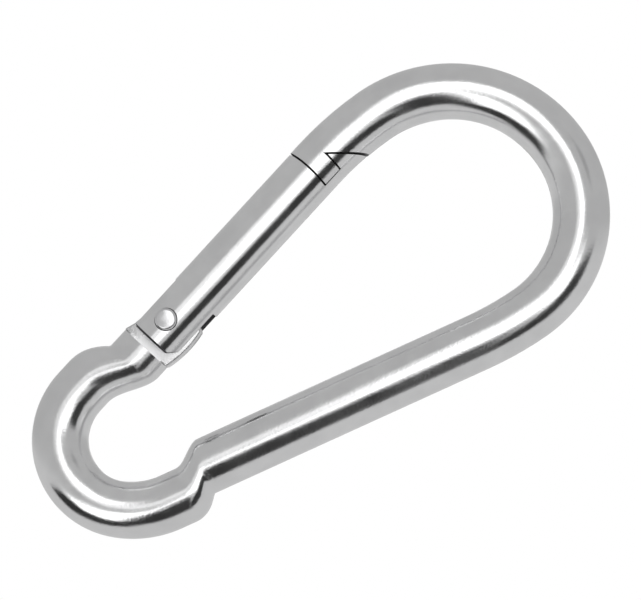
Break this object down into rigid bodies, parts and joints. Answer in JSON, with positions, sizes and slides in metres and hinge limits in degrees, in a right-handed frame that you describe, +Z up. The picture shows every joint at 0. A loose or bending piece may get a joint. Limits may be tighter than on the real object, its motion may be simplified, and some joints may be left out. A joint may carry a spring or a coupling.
{
  "type": "spring snap hook",
  "caption": "Pear-shaped snap hook bent from round steel wire, with a wide bow, a joggled small eye and a riveted spring gate that opens inwards and latches on a barbed nose.",
  "frame": {"origin": "the seat inside the top of the bow, where the hook hangs: the highest point of the bow's inner side, in the hook's mid plane", "axes": "+Z up the hook's length from the small eye to the bow, +Y along the hinge rivet from front to back, +X from the gate side to the spine side"},
  "size_m": [0.0669, 0.0134, 0.1399],
  "materials": {
    "body_zinc": "bright zinc plate on drawn wire, smooth and mirror-like with fine lengthwise draw lines",
    "gate_zinc": "bright zinc plate on a turned bar",
    "rivet_zinc": "bright zinc plate, peened heads",
    "plunger_steel": "ground steel",
    "spring_steel": "oiled spring wire"
  },
  "bodies": {
    "hook": {"hook_body": "body_zinc", "hinge_rivet": "rivet_zinc"},
    "gate": {"gate": "gate_zinc", "gate_spring": "spring_steel"},
    "plunger": {"plunger": "plunger_steel"}
  },
  "joints": [
    {"name": "gate_hinge", "type": "hinge", "parent": "hook", "child": "gate", "pos_m": [-0.01694, 0, -0.08494], "axis": [0, 1, 0], "range_deg": [0, 40], "stiffness_Nm_per_rad": 0.14, "springref_deg": -114.59},
    {"name": "plunger_slide", "type": "slide", "parent": "gate", "child": "plunger", "axis": [-0.225, 0, 0.9744], "range_m": [0, 0.0021], "deforming": ["gate_spring"]}
  ],
  "couplings": [
    {"joint": "plunger_slide", "follows": "gate_hinge", "m_per_rad": 0.003}
  ]
}
